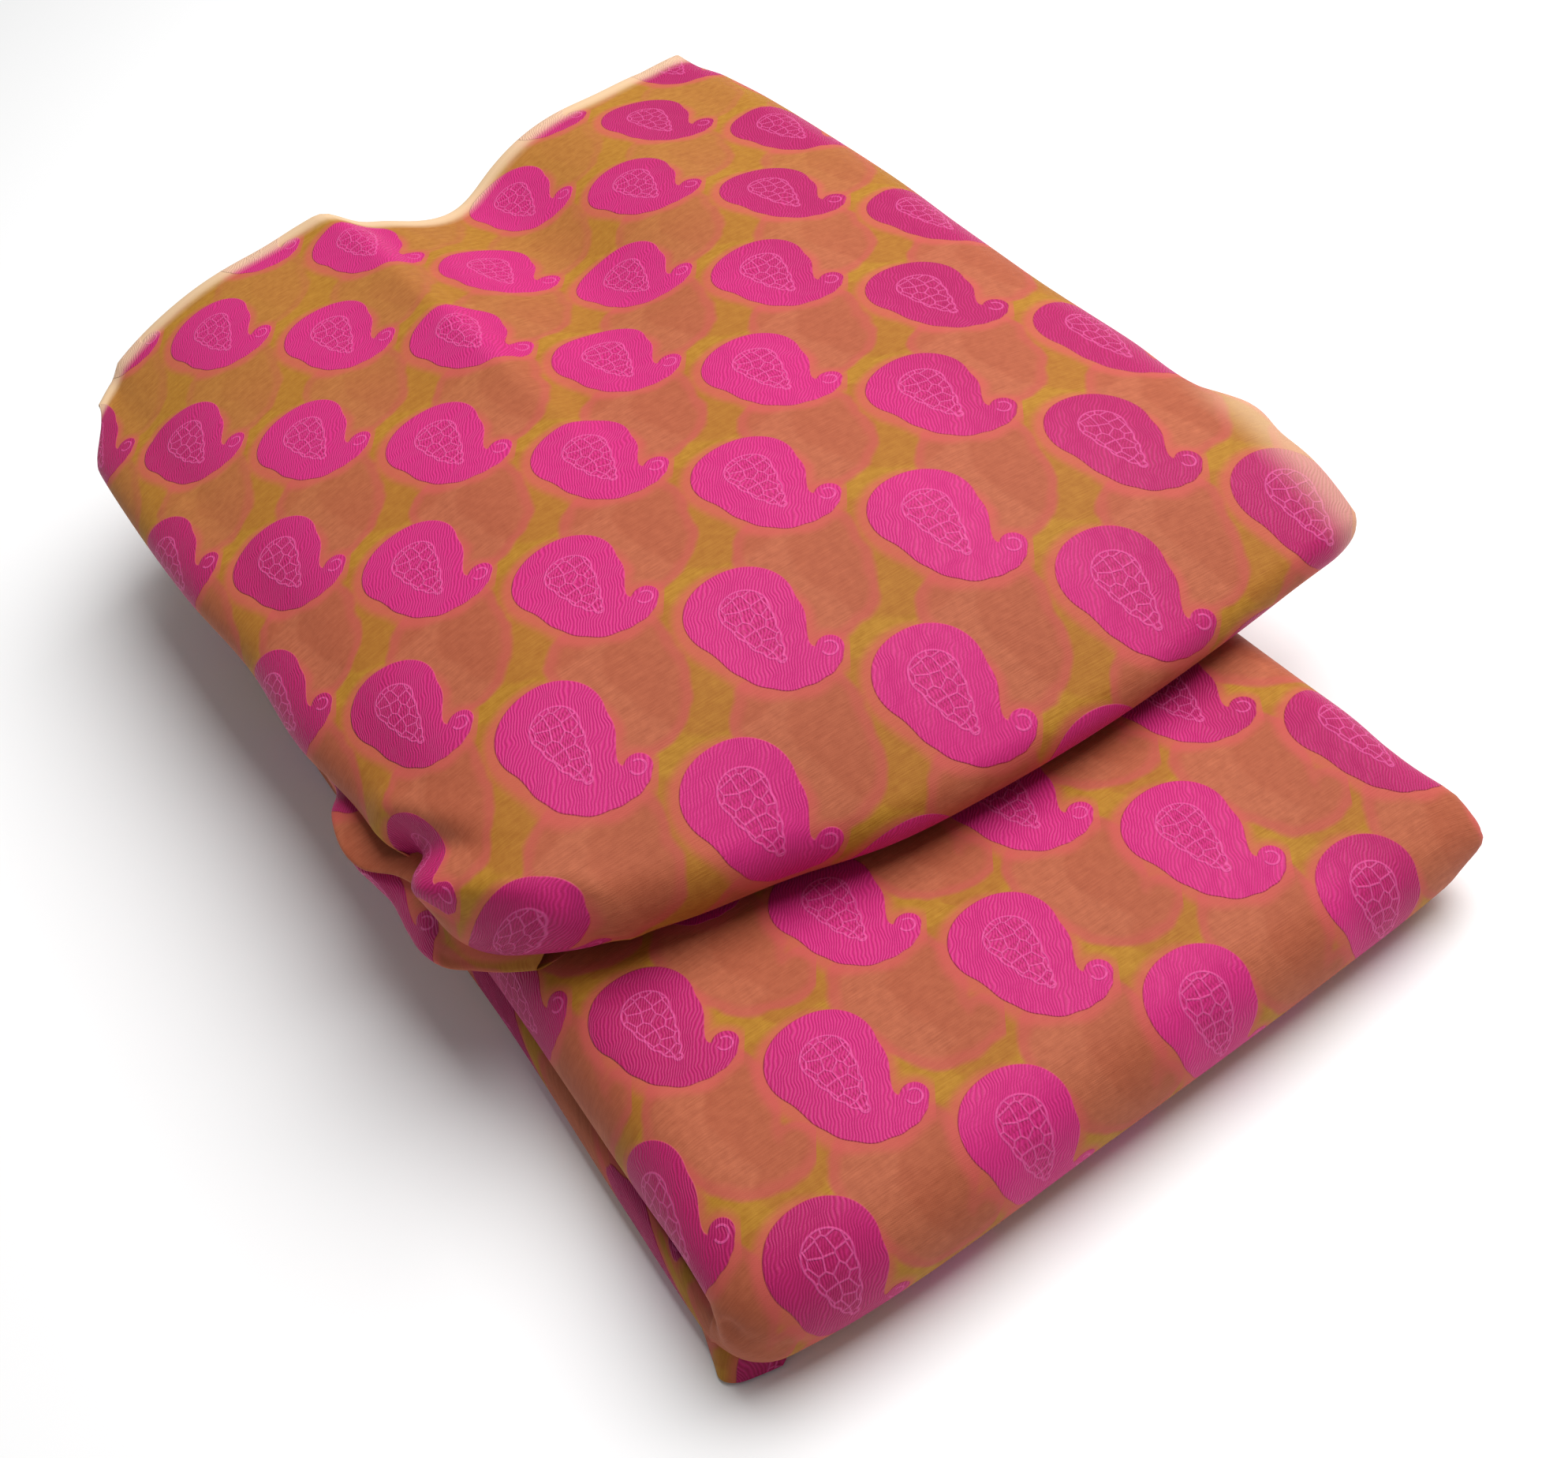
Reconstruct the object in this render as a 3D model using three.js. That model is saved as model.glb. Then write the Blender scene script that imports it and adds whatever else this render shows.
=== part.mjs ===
// A length of banarasi cloth, folded in four across its width and then back and forth
// into two soft tiers, the upper tier set back on the lower one.
//
// The folded cloth is one sheet that runs to and fro through both tiers. Its outer run
// wraps the nose of each tier, the inner runs lie inside that wrap, and the wrap's side
// margins roll over them. Millimetres, +X to the right, +Y to the back, +Z up.

import * as THREE from 'three';

// Driving sizes
const SHEET = 3;              // thickness of the cloth folded in four
const UPPER_RUNS = 8;         // runs of the sheet, one over the other, in each tier
const LOWER_RUNS = 6;
const UPPER_TOP = 104;        // height of the upper tier's crown above the surface
const LOWER_TOP = 46;         // height of the lower tier's top
const TIER_GAP = 4;           // air between the tiers
const UPPER_SHOULDER = 2.8;   // how steeply each tier rises behind its nose
const LOWER_SHOULDER = 2;
const ROLL_CLEARANCE = 9;     // kept between the two margins of one tier
const BACK_FADE = 28;         // stretch in which the side margins end before a back fold
const BACK_SPREAD = 0.5;      // share of a wrap's extra width that is left at a back fold
const MARGIN_ROLL = [112, 88, 62, 36, 14];   // degrees, from the margin's end inwards
const RUN_STEPS = 5;          // steps along an inner run
const SKIN_STEPS = 11;        // steps along an outer run
const SKIN_CROWD = 1.35;      // how far those steps crowd towards the nose
const FOLD_STEPS = 4;         // steps round a fold between two runs
const NOSE_STEPS = 7;         // steps round a tier's nose

// Plan of each tier: a row for each place across the width.
// nose: y of its tip, back: y of its back fold, tip: height of the tip,
// round: radius of the nose, shoulder: depth over which it rises to the crown.
const UPPER_PLAN = [
  { x: -8, nose: 2, back: 330, tip: 70, round: 17, shoulder: 50 },
  { x: 12, nose: -14, back: 342, tip: 69, round: 17, shoulder: 60 },
  { x: 31, nose: -23, back: 349, tip: 67, round: 16, shoulder: 80 },
  { x: 60, nose: -29, back: 354, tip: 64, round: 14, shoulder: 110 },
  { x: 92, nose: -36, back: 354, tip: 62, round: 12, shoulder: 130 },
  { x: 121, nose: -45, back: 350, tip: 61, round: 10.5, shoulder: 150 },
  { x: 156, nose: -49, back: 326, tip: 60.5, round: 10, shoulder: 155 },
  { x: 196, nose: -50, back: 336, tip: 60, round: 9.5, shoulder: 155 },
  { x: 246, nose: -47, back: 350, tip: 59.5, round: 9, shoulder: 150 },
  { x: 274, nose: -44, back: 358, tip: 59, round: 8.5, shoulder: 140 },
  { x: 300, nose: -42, back: 360, tip: 58.5, round: 7.5, shoulder: 120 },
];
const LOWER_PLAN = [
  { x: 0, nose: -131, back: 292, tip: 21, round: 18, shoulder: 40 },
  { x: 40, nose: -137, back: 300, tip: 22, round: 20, shoulder: 46 },
  { x: 120, nose: -137, back: 303, tip: 22, round: 20, shoulder: 50 },
  { x: 200, nose: -135, back: 298, tip: 21, round: 18, shoulder: 50 },
  { x: 245, nose: -132, back: 292, tip: 19, round: 15, shoulder: 48 },
  { x: 266, nose: -128, back: 290, tip: 17, round: 12, shoulder: 44 },
];

// Side edges of the runs. left and right: widest x, roll: radius with which the margin
// rolls over on either side.
const UPPER_SKIN = { left: -5, right: 297, rollLeft: 30, rollRight: 21 };
const UPPER_UNDER = { left: 0, right: 292, rollLeft: 6, rollRight: 5 };
const LOWER_SKIN = { left: 10, right: 258, rollLeft: 20, rollRight: 19 };
const LOWER_UNDER = { left: 4, right: 259, rollLeft: 13, rollRight: 8 };
const UPPER_INNER = { left: 21, right: 280, rollLeft: 0, rollRight: 0 };
const LOWER_INNER = { left: 28, right: 243, rollLeft: 0, rollRight: 0 };
const INNER_EDGE_STEP = 3;    // spacing of an inner run's edge rows

// How far the wrap's side edges wander outwards, a row for each place along the depth.
const UPPER_WANDER = [
  { y: -58, left: -2, right: 3 },
  { y: -5, left: -1, right: 6 },
  { y: 10, left: 0, right: 9 },
  { y: 30, left: 0, right: 3 },
  { y: 62, left: 1, right: 3 },
  { y: 105, left: -4, right: 1 },
  { y: 150, left: -5, right: 2 },
  { y: 205, left: -1, right: 6 },
  { y: 285, left: 0, right: 10 },
  { y: 345, left: -2, right: 12 },
];
const LOWER_WANDER = [
  { y: -139, left: 4, right: -2 },
  { y: -112, left: 1, right: -1 },
  { y: -60, left: 0, right: -1 },
  { y: 20, left: -1, right: 0 },
  { y: 160, left: 2, right: 1 },
  { y: 290, left: -1, right: 4 },
];

// Places across the width, between the rolled margins, at which the sheet is shaped.
const ACROSS = [0.12, 0.24, 0.34, 0.42, 0.5, 0.6, 0.72, 0.86];

// How far each inner fold stops short of the wrap, a row for each fold from the top down.
const UPPER_FOLDS = [
  { end: 'back', short: 0 },
  { end: 'nose', short: 30 },
  { end: 'back', short: 12 },
  { end: 'nose', short: 24 },
  { end: 'back', short: 7 },
  { end: 'nose', short: 34 },
  { end: 'back', short: 15 },
];
const LOWER_FOLDS = [
  { end: 'back', short: 14 },
  { end: 'nose', short: 13 },
  { end: 'back', short: 9 },
  { end: 'nose', short: 16 },
  { end: 'back', short: 2 },
];

// Soft ridges and troughs on the upper tier: centre x, height, half width, and the depth
// over which each one grows.
const UPPER_CREASES = [
  { x: 124, rise: 4, spread: 17, from: 130, to: 210 },
  { x: 166, rise: -7, spread: 20, from: 165, to: 250 },
  { x: 235, rise: 3, spread: 26, from: 150, to: 240 },
];
const SIDE_FALL = {           // the crown falls to either side of its middle
  middle: 150,
  left: { drop: 15, reach: 123 },
  right: { drop: 6, reach: 120 },
  power: 2.2,
  limit: 1.08,
};
const BACK_FALL = { from: 170, to: 350, drop: 8 };      // the crown falls to the back
const BACK_SAG = { from: 300, to: 360, drop: 5 };       // the upper tier hangs over the lower

const rad = THREE.MathUtils.degToRad;
const lerp = THREE.MathUtils.lerp;
const smoothstep = THREE.MathUtils.smoothstep;

// Reads one column of a table at a value of its key column, smoothly between its rows.
function read(table, column, at, key = 'x') {
  const next = table.findIndex((row) => row[key] > at);
  if (next === 0) return table[0][column];
  if (next < 0) return table.at(-1)[column];
  const [before, after] = [table[next - 1], table[next]];
  return lerp(before[column], after[column], smoothstep(at, before[key], after[key]));
}

function creaseHeight(x, y) {
  return UPPER_CREASES.reduce((sum, crease) => {
    const off = (x - crease.x) / crease.spread;
    return sum + crease.rise * Math.exp(-off * off) * smoothstep(y, crease.from, crease.to);
  }, 0);
}

// How far the upper crown has fallen at x.
function sideFall(x) {
  const side = x < SIDE_FALL.middle ? SIDE_FALL.left : SIDE_FALL.right;
  const share = Math.abs(x - SIDE_FALL.middle) / side.reach;
  return side.drop * Math.min(share, SIDE_FALL.limit) ** SIDE_FALL.power;
}

// Height of a tier's top behind its nose, which rises over the shoulder to the crown.
function shoulderHeight(plan, power, crown, x, y) {
  const start = read(plan, 'nose', x) + read(plan, 'round', x);
  const low = read(plan, 'tip', x) + read(plan, 'round', x);
  const t = THREE.MathUtils.clamp((y - start) / read(plan, 'shoulder', x), 0, 1);
  return lerp(low, crown, 1 - (1 - t) ** power);
}

// Under side of a tier, which rises under the nose.
function underHeight(plan, floor, x, y) {
  const round = read(plan, 'round', x);
  const low = read(plan, 'tip', x) - round;
  const t = THREE.MathUtils.clamp((y - read(plan, 'nose', x) - round) / (2 * round), 0, 1);
  return lerp(low, floor, 1 - (1 - t) * (1 - t));
}

const upper = {
  plan: UPPER_PLAN,
  runs: UPPER_RUNS,
  skin: UPPER_SKIN,
  under: UPPER_UNDER,
  inner: UPPER_INNER,
  wander: UPPER_WANDER,
  top: (x, y) => {
    const fall = sideFall(x) + BACK_FALL.drop * smoothstep(y, BACK_FALL.from, BACK_FALL.to);
    const crown = UPPER_TOP - fall + creaseHeight(x, y);
    return shoulderHeight(UPPER_PLAN, UPPER_SHOULDER, crown, x, y) - SHEET / 2;
  },
  base: (x, y) => {
    const floor = LOWER_TOP + TIER_GAP - BACK_SAG.drop * smoothstep(y, BACK_SAG.from, BACK_SAG.to);
    return underHeight(UPPER_PLAN, floor, x, y) + SHEET / 2;
  },
};

const lower = {
  plan: LOWER_PLAN,
  runs: LOWER_RUNS,
  skin: LOWER_SKIN,
  under: LOWER_UNDER,
  inner: LOWER_INNER,
  wander: LOWER_WANDER,
  top: (x, y) => shoulderHeight(LOWER_PLAN, LOWER_SHOULDER, LOWER_TOP, x, y) - SHEET / 2,
  base: () => SHEET / 2,
};

// Stations across the width: the left margin's roll, the places between, the right roll.
const stations = [
  ...MARGIN_ROLL.map((angle, k) => ({ side: 'left', angle, edge: k })),
  ...ACROSS.map((share) => ({ side: 'middle', share })),
  ...MARGIN_ROLL.map((angle, k) => ({ side: 'right', angle, edge: k })).reverse(),
];

// x of a run at a station, for the given side edges.
function across(edges, station) {
  if (station.side === 'middle') {
    const left = edges.left + edges.rollLeft;
    const right = edges.right - edges.rollRight;
    return lerp(left, right, station.share);
  }
  const turn = 1 - Math.sin(Math.min(rad(station.angle), Math.PI));
  const step = station.edge * INNER_EDGE_STEP;
  if (station.side === 'left') {
    return edges.left + (edges.rollLeft > 0 ? edges.rollLeft * turn : step);
  }
  return edges.right - (edges.rollRight > 0 ? edges.rollRight * turn : step);
}

// How far a margin has rolled in at a station, for the given roll radius.
function rolled(edges, station, room) {
  if (station.side === 'middle') return 0;
  const radius = station.side === 'left' ? edges.rollLeft : edges.rollRight;
  return Math.min(radius, room) * (1 - Math.cos(rad(station.angle)));
}

// How far a wrap's edge wanders at a station, out from the middle of the cloth.
function wandered(tier, station, y) {
  if (station.side === 'middle') return 0;
  const out = read(tier.wander, station.side, y, 'y') * station.angle / MARGIN_ROLL[0];
  return station.side === 'left' ? -out : out;
}

// x of a wrap at a station. The skin weight is 1 on the wrap and fades before each back
// fold, where the wrap narrows towards the inner runs' width.
function narrowed(tier, edges, station, weight) {
  const spread = lerp(BACK_SPREAD, 1, weight);
  return lerp(across(tier.inner, station), across(edges, station), spread);
}

// One point of a wrap, whose margin rolls in along the given direction.
function place(tier, edges, station, weight, room, y, z, inward) {
  const x = narrowed(tier, edges, station, weight);
  const roll = weight * rolled(edges, station, room);
  const shift = weight * wandered(tier, station, y);
  return new THREE.Vector3(x + shift, y + inward.y * roll, z + inward.z * roll);
}

// Height of run k of a tier.
function runHeight(tier, k, x, y) {
  return lerp(tier.top(x, y), tier.base(x, y), k / (tier.runs - 1));
}

// Largest roll radius for a margin, so that the margins of one tier stay clear.
const ROLL_REACH = 1 - Math.cos(rad(MARGIN_ROLL[0]));
const roomFor = (height) => Math.max(height - ROLL_CLEARANCE, 0) / ROLL_REACH;

function marginRoom(tier, side, station, x, y) {
  const height = tier.top(x, y) - tier.base(x, y);
  const underRoom = roomFor(height) / 2;
  if (side === 'under') return underRoom;
  return roomFor(height - rolled(tier.under, station, underRoom));
}

// Where a run turns, so far short of the nose or of the back fold.
const noseEnd = (tier, short) => (x) =>
  read(tier.plan, 'nose', x) + read(tier.plan, 'round', x) + short;
const backEnd = (tier, short) => (x) => read(tier.plan, 'back', x) - short;

// An inner run of a tier, from y0 to y1.
function innerRun(tier, k, y0, y1, station) {
  const x = across(tier.inner, station);
  return Array.from({ length: RUN_STEPS + 1 }, (_, i) => {
    const y = lerp(y0(x), y1(x), i / RUN_STEPS);
    return new THREE.Vector3(x, y, runHeight(tier, k, x, y));
  });
}

// An outer run, from the nose to its back fold: the top or the under side of a wrap.
function outerRun(tier, side, backAt, station) {
  const edges = side === 'top' ? tier.skin : tier.under;
  const inward = { y: 0, z: side === 'top' ? -1 : 1 };
  const x = across(edges, station);
  const front = noseEnd(tier, 0)(x);
  const back = backAt(x);
  return Array.from({ length: SKIN_STEPS + 1 }, (_, i) => {
    const y = lerp(front, back, (i / SKIN_STEPS) ** SKIN_CROWD);
    const weight = 1 - smoothstep(y, back - BACK_FADE, back);
    const placedX = narrowed(tier, edges, station, weight);
    const z = side === 'top' ? tier.top(placedX, y) : tier.base(placedX, y);
    const room = marginRoom(tier, side, station, x, y);
    return place(tier, edges, station, weight, room, y, z, inward);
  });
}

// The wrap round a tier's nose, from its top to its under side.
function nose(tier, station) {
  return Array.from({ length: NOSE_STEPS - 1 }, (_, i) => {
    const share = (i + 1) / NOSE_STEPS;
    const phi = rad(lerp(90, -90, share));
    const edges = Object.fromEntries(
      Object.keys(tier.skin).map((key) => [key, lerp(tier.skin[key], tier.under[key], share)]));
    const x = across(edges, station);
    const round = read(tier.plan, 'round', x) - SHEET / 2;
    const y = read(tier.plan, 'nose', x) + SHEET / 2 + round * (1 - Math.cos(phi));
    const z = read(tier.plan, 'tip', x) + round * Math.sin(phi);
    const room = roomFor(2 * round) / 2;
    const inward = { y: Math.cos(phi), z: -Math.sin(phi) };
    return place(tier, edges, station, 1, room, y, z, inward);
  });
}

// A fold that joins the end of one run to the start of the next, bulging along Y.
function fold(from, to, bulge) {
  return Array.from({ length: FOLD_STEPS - 1 }, (_, i) => {
    const share = (i + 1) / FOLD_STEPS;
    const point = from.clone().lerp(to, (1 - Math.cos(Math.PI * share)) / 2);
    point.y += bulge * from.distanceTo(to) / 2 * Math.sin(Math.PI * share);
    return point;
  });
}

// The inner runs of a tier, from the lowest up.
function innerRuns(tier, folds, station) {
  const ends = folds.map((row) => (row.end === 'back' ? backEnd : noseEnd)(tier, row.short));
  return Array.from({ length: tier.runs - 2 }, (_, i) => {
    const k = tier.runs - 2 - i;
    return innerRun(tier, k, ends[k], ends[k - 1], station);
  });
}

// The outer run over a tier, round its nose and back under it.
function wrap(tier, topBack, underBack, station) {
  return [
    ...outerRun(tier, 'top', topBack, station).reverse(),
    ...nose(tier, station),
    ...outerRun(tier, 'under', underBack, station),
  ];
}

// The sheet's middle line at one station, from its inner end in the upper tier to the
// one in the lower tier.
function sheetLine(station) {
  const tierFold = backEnd(lower, 0);
  const runs = [
    ...innerRuns(upper, UPPER_FOLDS, station),
    wrap(upper, backEnd(upper, 0), tierFold, station),
    wrap(lower, tierFold, backEnd(lower, LOWER_FOLDS.at(-1).short), station),
    ...innerRuns(lower, LOWER_FOLDS, station),
  ];
  return runs.reduce((line, run) => {
    if (line.length === 0) return run;
    const end = line.at(-1);
    const heading = Math.sign(end.y - line.at(-2).y);
    return [...line, ...fold(end, run[0], heading), ...run];
  }, []);
}

// The closed sheet: the middle surface moved half a thickness out on either side, with
// rims along its ends and its side edges.
function sheetGeometry() {
  const grid = stations.map(sheetLine);
  const rows = grid.length;
  const columns = grid[0].length;
  const clamp = THREE.MathUtils.clamp;
  const at = (i, j) => grid[clamp(i, 0, rows - 1)][clamp(j, 0, columns - 1)];
  const positions = [];
  for (const half of [SHEET / 2, -SHEET / 2]) {
    for (let i = 0; i < rows; i += 1) {
      for (let j = 0; j < columns; j += 1) {
        const alongX = at(i + 1, j).clone().sub(at(i - 1, j));
        const alongLine = at(i, j + 1).clone().sub(at(i, j - 1));
        const normal = alongX.cross(alongLine).normalize();
        positions.push(...at(i, j).clone().addScaledVector(normal, half).toArray());
      }
    }
  }
  const index = [];
  const id = (layer, i, j) => (layer * rows + i) * columns + j;
  const quad = (a, b, c, d) => index.push(a, b, c, a, c, d);
  for (let i = 0; i < rows - 1; i += 1) {
    for (let j = 0; j < columns - 1; j += 1) {
      quad(id(0, i, j), id(0, i + 1, j), id(0, i + 1, j + 1), id(0, i, j + 1));
      quad(id(1, i, j), id(1, i, j + 1), id(1, i + 1, j + 1), id(1, i + 1, j));
    }
    quad(id(0, i, 0), id(1, i, 0), id(1, i + 1, 0), id(0, i + 1, 0));
    const end = columns - 1;
    quad(id(0, i, end), id(0, i + 1, end), id(1, i + 1, end), id(1, i, end));
  }
  for (let j = 0; j < columns - 1; j += 1) {
    const end = rows - 1;
    quad(id(0, 0, j), id(0, 0, j + 1), id(1, 0, j + 1), id(1, 0, j));
    quad(id(0, end, j), id(1, end, j), id(1, end, j + 1), id(0, end, j + 1));
  }
  const geometry = new THREE.BufferGeometry();
  geometry.setAttribute('position', new THREE.Float32BufferAttribute(positions, 3));
  geometry.setIndex(index);
  return geometry;
}

const cloth = new THREE.MeshStandardMaterial({ color: 0xb5663f, roughness: 0.8, metalness: 0 });
const sheet = new THREE.Mesh(sheetGeometry(), cloth);
sheet.name = 'folded_cloth';

// The origin lies on the surface, under the middle of the folded cloth.
const box = new THREE.Box3().setFromObject(sheet);
const middle = box.getCenter(new THREE.Vector3());
sheet.geometry.translate(-middle.x, -middle.y, -box.min.z);
sheet.geometry.computeVertexNormals();

const part = new THREE.Group();
part.add(sheet);

export default part;
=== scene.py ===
# A folded length of banarasi cloth: a thin sheer sheet with a paisley repeat, folded in
# four and laid back and forth into two soft tiers.

import math

import bmesh
import bpy
import numpy as np
from mathutils import Matrix, Vector


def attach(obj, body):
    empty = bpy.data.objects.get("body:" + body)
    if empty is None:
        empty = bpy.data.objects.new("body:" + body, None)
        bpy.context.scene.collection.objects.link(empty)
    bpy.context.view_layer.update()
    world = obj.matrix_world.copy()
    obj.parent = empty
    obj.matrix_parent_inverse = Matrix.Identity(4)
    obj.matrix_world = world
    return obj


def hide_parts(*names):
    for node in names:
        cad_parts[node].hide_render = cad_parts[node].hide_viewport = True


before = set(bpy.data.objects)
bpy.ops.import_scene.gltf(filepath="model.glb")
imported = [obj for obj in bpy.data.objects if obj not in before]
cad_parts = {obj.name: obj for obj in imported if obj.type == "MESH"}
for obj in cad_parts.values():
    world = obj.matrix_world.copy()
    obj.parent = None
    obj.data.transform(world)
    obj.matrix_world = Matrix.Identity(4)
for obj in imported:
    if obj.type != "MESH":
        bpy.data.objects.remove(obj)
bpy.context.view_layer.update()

MM = 0.001
CLOTH_MIDDLE = (150.42, 114.83)   # of the folded cloth, in the millimetres of its own layout
CAMERA_PLACE = (-32.44, -383.22, 472.45)
CAMERA_FORWARD = (0.25849, 0.66858, -0.69727)
CAMERA_RIGHT = (0.82584, -0.52741, -0.19956)
PHOTO_WIDTH = 1988       # pixels
FOCAL_LENGTH = 2500      # pixels of the photograph
SENSOR_WIDTH = 36


# Camera: the photograph's viewing place and direction

def aim_camera():
    """The camera of the photograph, placed in the cloth's own layout."""
    place = Vector(CAMERA_PLACE)
    forward = Vector(CAMERA_FORWARD).normalized()
    right = Vector(CAMERA_RIGHT).normalized()
    up = right.cross(forward)
    turn = Matrix((right, up, -forward)).transposed().to_4x4()
    lens = bpy.data.cameras.new("camera")
    lens.sensor_width = SENSOR_WIDTH
    lens.lens = SENSOR_WIDTH * FOCAL_LENGTH / PHOTO_WIDTH
    lens.clip_start = 0.01
    lens.clip_end = 20
    camera = bpy.data.objects.new("camera", lens)
    middle = Vector((*CLOTH_MIDDLE, 0))
    camera.matrix_world = Matrix.Translation((place - middle) * MM) @ turn
    bpy.context.scene.collection.objects.link(camera)
    bpy.context.scene.camera = camera


aim_camera()


# Sizes of the folds, in millimetres: x to the right, y to the back, z up

def rows(columns, *values):
    """A short table with named columns."""
    return [dict(zip(columns.split(), value)) for value in values]


UPPER_RUNS = 8           # runs in each tier, one over the other
LOWER_RUNS = 6
SHEET_THICKNESS = 0.7    # of the plies of one run together
LOWER_TOP = 46.0         # height of the lower tier's top
TIER_GAP = 4.0           # air between the tiers
UPPER_TOP = 104.0        # height of the upper tier's crown
BACK_SAG = 8             # how far the upper tier falls towards its back fold
FLOOR_AIR = 0.6          # under the middle surface of the lowest run

# Plan of each tier. nose: y of its tip, back: y of its back fold, tip: height of the tip,
# round: radius of the nose, shoulder: depth over which it rises to the crown.
UPPER_PLAN = rows(
    "x nose back tip round shoulder",
    (-8, 14, 330, 66, 17, 50),
    (12, -4, 342, 66.5, 17.5, 60),
    (31, -19, 350, 67, 16, 80),
    (60, -29, 354, 64, 14, 110),
    (92, -36, 354, 62, 12, 130),
    (121, -45, 350, 61, 10.5, 150),
    (156, -49, 328, 60.5, 10, 155),
    (198, -50, 342, 60, 9.5, 155),
    (246, -47, 350, 59.5, 9, 150),
    (274, -44, 358, 59, 8.5, 140),
    (300, -42, 360, 58.5, 7.5, 120),
)
LOWER_PLAN = rows(
    "x nose back tip round shoulder",
    (0, -131, 292, 21, 18, 40),
    (40, -137, 300, 22, 20, 46),
    (120, -137, 303, 22, 20, 50),
    (200, -135, 298, 21, 18, 50),
    (245, -132, 292, 19, 15, 48),
    (266, -128, 290, 17, 12, 44),
)

# Side edges along the depth: the widest x of the cover and of the run under it.
UPPER_EDGES = rows(
    "y left right under_left under_right",
    (-58, 2, 300, 6, 295),
    (-5, 2, 303, 6, 296),
    (10, 2, 306, 6, 296),
    (30, 2, 300, 5, 294),
    (62, 3, 300, 5, 295),
    (105, -1, 298, 5, 295),
    (150, 0, 299, 4, 295),
    (205, -4, 303, 1, 297),
    (285, -5, 307, 0, 301),
    (345, -3, 309, 2, 302),
)
LOWER_EDGES = rows(
    "y left right under_left under_right",
    (-139, 7, 256, 6, 255),
    (-112, 9, 257, 5, 256),
    (-60, 10, 257, 6, 256),
    (20, 11, 258, 8, 257),
    (160, 8, 259, 5, 257),
    (290, 11, 262, 8, 260),
)
# How far the upper crown falls to the left and to the right of its middle, over what reach.
DOME = {"middle": 150, "left": 15, "right": 6, "reach_left": 123, "reach_right": 120}
DOME_POWER = 2.2
DOME_LIMIT = 1.08

# Ridges and troughs that run to the back of the upper tier, each growing from start to full.
CREASES = rows(
    "x rise spread start full",
    (124, 4, 17, 130, 210),
    (176, -10, 27, 150, 230),
    (235, 3, 26, 150, 240),
    (126, 1.6, 6, 95, 190),
    (136, -2.2, 7, 95, 190),
)


def read(table, column, at, key="x"):
    """One column of a table at values of its key column, smoothly between its rows."""
    keys = np.array([row[key] for row in table], float)
    values = np.array([row[column] for row in table], float)
    step = np.diff(values) / np.diff(keys)
    slope = np.concatenate([[step[0]], (step[:-1] + step[1:]) / 2, [step[-1]]])
    at = np.clip(np.asarray(at, float), keys[0], keys[-1])
    i = np.clip(np.searchsorted(keys, at, side="right") - 1, 0, len(keys) - 2)
    span = keys[i + 1] - keys[i]
    t = (at - keys[i]) / span
    start = (1 + 2 * t) * (1 - t) ** 2 * values[i] + t * (1 - t) ** 2 * span * slope[i]
    end = t * t * (3 - 2 * t) * values[i + 1] + t * t * (t - 1) * span * slope[i + 1]
    return start + end


def eased(at, start, end):
    """0 at start and 1 at end, softly between."""
    t = np.clip((at - start) / (end - start), 0, 1)
    return t * t * (3 - 2 * t)


def lerp(a, b, t):
    """Between a, where t is 0, and b, where it is 1."""
    return a + (b - a) * t


def dome(x):
    """How far the upper crown falls towards its sides."""
    left = np.clip((DOME["middle"] - x) / DOME["reach_left"], 0, DOME_LIMIT) ** DOME_POWER
    right = np.clip((x - DOME["middle"]) / DOME["reach_right"], 0, DOME_LIMIT) ** DOME_POWER
    return DOME["left"] * left + DOME["right"] * right


# Soft hollows and swellings of the upper tier's top.
SOFT_HOLLOWS = rows(
    "x y rise wide long",
    (300, 40, -9, 40, 60),
    (156, 166, -3, 24, 40),
    (286, 290, 3, 26, 60),
    (70, 320, 5, 45, 60),
    (20, 180, -1, 24, 50),
    (90, 125, 1.3, 16, 30),
    (205, 95, -1.3, 15, 34),
    (238, 165, 1.3, 15, 30),
    (62, 62, 1.1, 13, 24),
    (182, 25, 1.2, 13, 20),
    (118, 12, -1.2, 11, 20),
)


def crease(x, y):
    """Rise of the upper tier's top over its plain crown."""
    total = 0
    for row in SOFT_HOLLOWS:
        away = ((x - row["x"]) / row["wide"]) ** 2 + ((y - row["y"]) / row["long"]) ** 2
        total = total + row["rise"] * np.exp(-away)
    for row in CREASES:
        grown = eased(y, row["start"], row["full"])
        total = total + row["rise"] * np.exp(-(((x - row["x"]) / row["spread"]) ** 2)) * grown
    return total


def upper_peak(x):
    """Height of the upper tier's plain crown."""
    return UPPER_TOP - dome(x)


def lower_peak(x):
    """Height of the lower tier's plain crown."""
    return LOWER_TOP + 0 * x


STEEPEST_BROW = 1.2      # slope


def brow(plan, peak, power, x):
    """Angle round the nose at which the shoulder leaves it without a kink."""
    rise = peak(x) - read(plan, "tip", x) - read(plan, "round", x)
    slope = np.clip(rise * power / read(plan, "shoulder", x), 0, STEEPEST_BROW)
    return math.pi / 2 - np.arctan(slope)


def shoulder(plan, peak, power, crown, x, y):
    """Height of a tier behind its nose, which rises over the shoulder to the crown."""
    turn = brow(plan, peak, power, x)
    start = read(plan, "nose", x) + read(plan, "round", x) * (1 - np.cos(turn))
    low = read(plan, "tip", x) + read(plan, "round", x) * np.sin(turn)
    t = np.clip((y - start) / read(plan, "shoulder", x), 0, 1)
    return lerp(low, crown, 1 - (1 - t) ** power)


UPPER_POWER = 2.8        # how early each shoulder rises
LOWER_POWER = 2


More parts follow.
